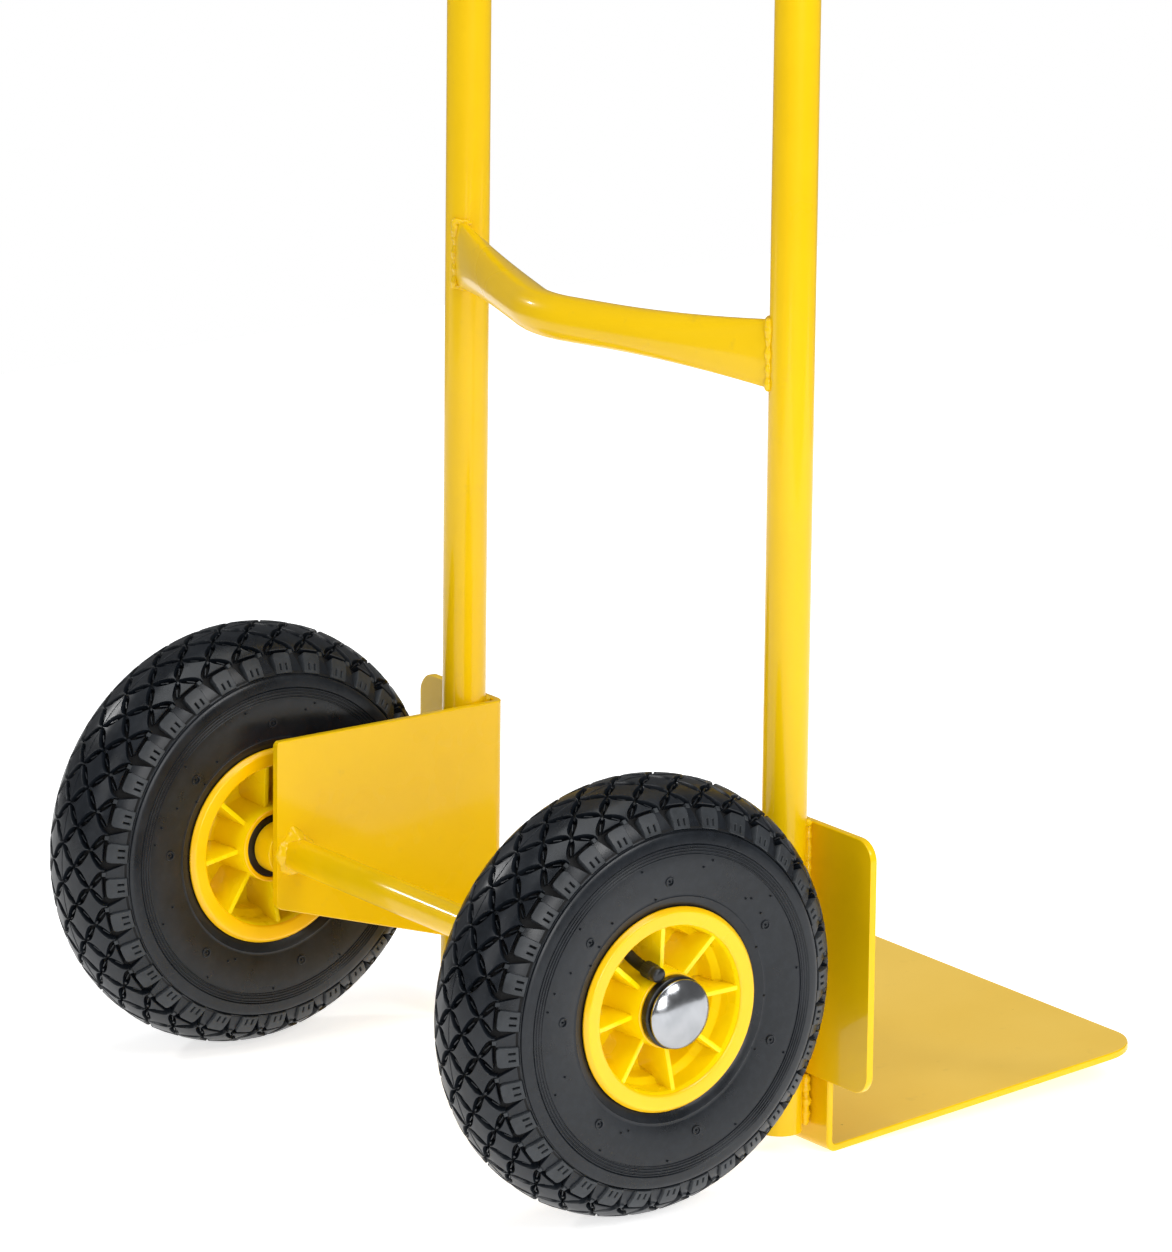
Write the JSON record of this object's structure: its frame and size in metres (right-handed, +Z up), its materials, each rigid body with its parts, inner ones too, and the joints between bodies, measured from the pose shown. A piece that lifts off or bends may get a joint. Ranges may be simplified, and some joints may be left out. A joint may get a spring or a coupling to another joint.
{
  "type": "hand truck",
  "caption": "Upright two-wheeled hand truck with a tubular steel frame, bowed crossbars, a folded toe plate, wheel guards, air-filled tyres and rear-facing hand grips.",
  "frame": {"origin": "centre of the bounding box at floor level", "axes": "+Z up along the rails, -Y towards the load and the toe plate, +X to the left of the person at the handles"},
  "size_m": [0.5014, 0.528, 1.1427],
  "materials": {
    "powder_coat": "gloss",
    "rim_plastic": "gloss",
    "tyre_rubber": "satin",
    "black_rubber": "matte",
    "black_plastic": "matte",
    "chrome": "polished",
    "bearing_steel": "satin"
  },
  "bodies": {
    "frame": {"rail_left": "powder_coat", "rail_right": "powder_coat", "crossbar_lower": "powder_coat", "crossbar_upper": "powder_coat", "side_bracket_left": "powder_coat", "side_bracket_right": "powder_coat", "toe_plate": "powder_coat", "axle": "powder_coat", "axle_collar_left": "powder_coat", "axle_collar_right": "powder_coat", "axle_cap_left": "chrome", "axle_cap_right": "chrome", "hand_grip_left": "black_plastic", "hand_grip_right": "black_plastic"},
    "wheel_left": {"rim_left": "rim_plastic", "tyre_left": "tyre_rubber", "inner_tube_left": "black_rubber", "valve_stem_left": "black_rubber", "valve_cap_left": "black_plastic", "bearing_race_outboard_left": "bearing_steel", "bearing_race_inboard_left": "bearing_steel", "bearing_rollers_outboard_left": "bearing_steel", "bearing_rollers_inboard_left": "bearing_steel", "hub_seal_outboard_left": "black_plastic", "hub_seal_inboard_left": "black_plastic"},
    "wheel_right": {"rim_right": "rim_plastic", "tyre_right": "tyre_rubber", "inner_tube_right": "black_rubber", "valve_stem_right": "black_rubber", "valve_cap_right": "black_plastic", "bearing_race_outboard_right": "bearing_steel", "bearing_race_inboard_right": "bearing_steel", "bearing_rollers_outboard_right": "bearing_steel", "bearing_rollers_inboard_right": "bearing_steel", "hub_seal_outboard_right": "black_plastic", "hub_seal_inboard_right": "black_plastic"}
  },
  "joints": [
    {"name": "wheel_left_spin", "type": "hinge", "parent": "frame", "child": "wheel_left", "pos_m": [0.1992, 0.134, 0.13], "axis": [1, 0, 0], "continuous": true},
    {"name": "wheel_right_spin", "type": "hinge", "parent": "frame", "child": "wheel_right", "pos_m": [-0.1992, 0.134, 0.13], "axis": [1, 0, 0], "continuous": true}
  ]
}
